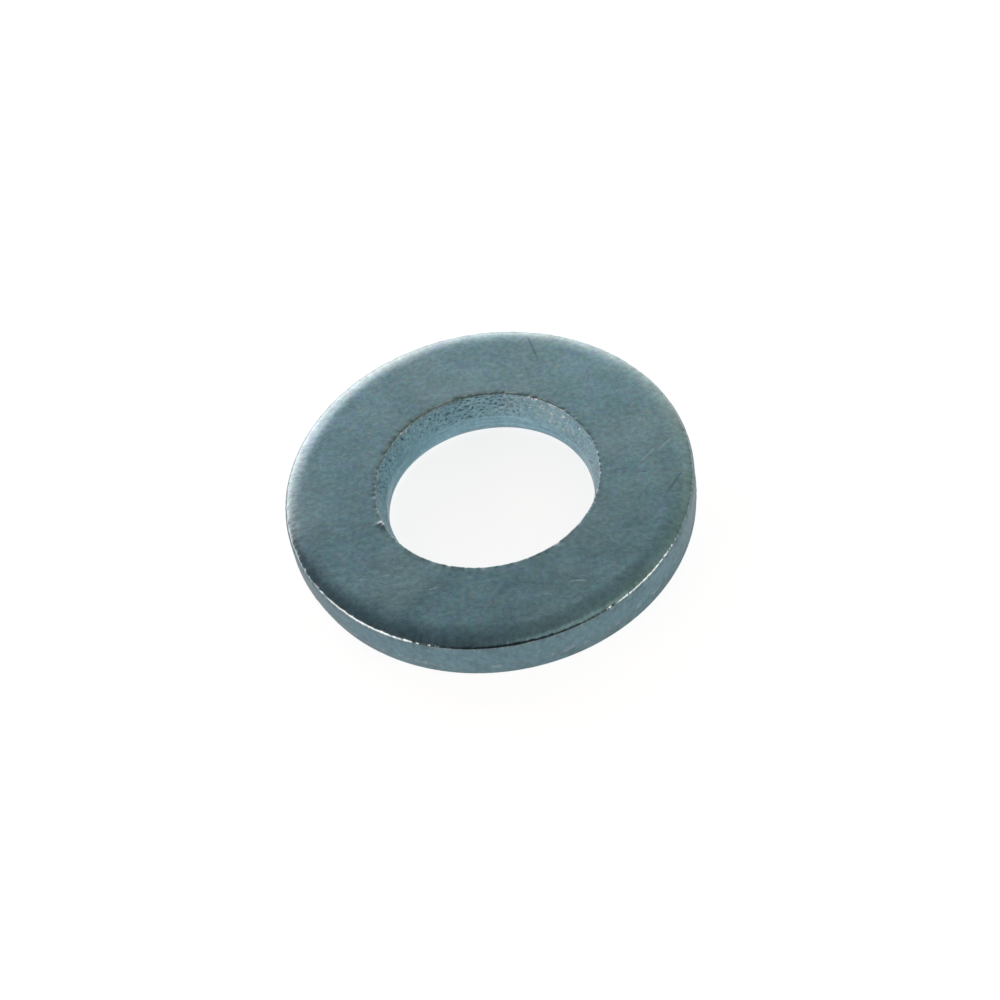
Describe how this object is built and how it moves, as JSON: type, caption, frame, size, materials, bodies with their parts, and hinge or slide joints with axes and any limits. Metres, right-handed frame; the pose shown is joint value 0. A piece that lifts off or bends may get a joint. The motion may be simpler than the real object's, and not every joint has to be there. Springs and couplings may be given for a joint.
{
  "type": "flat washer",
  "caption": "Plain flat washer for an M6 screw: a punched steel ring, zinc plated, that spreads a screw head's or nut's load.",
  "frame": {"origin": "centre of the hole, in the plane of the lower face", "axes": "+Z along the hole's axis, towards the face with the rolled outer edge; X and Y lie in the lower face, and the ring is round, so their direction is free"},
  "size_m": [0.0126, 0.0126, 0.0015],
  "materials": {
    "zinc_plate": "bright zinc plate with a blue passivate, satin and lightly scuffed"
  },
  "bodies": {
    "root": {"washer": "zinc_plate"}
  },
  "joints": []
}
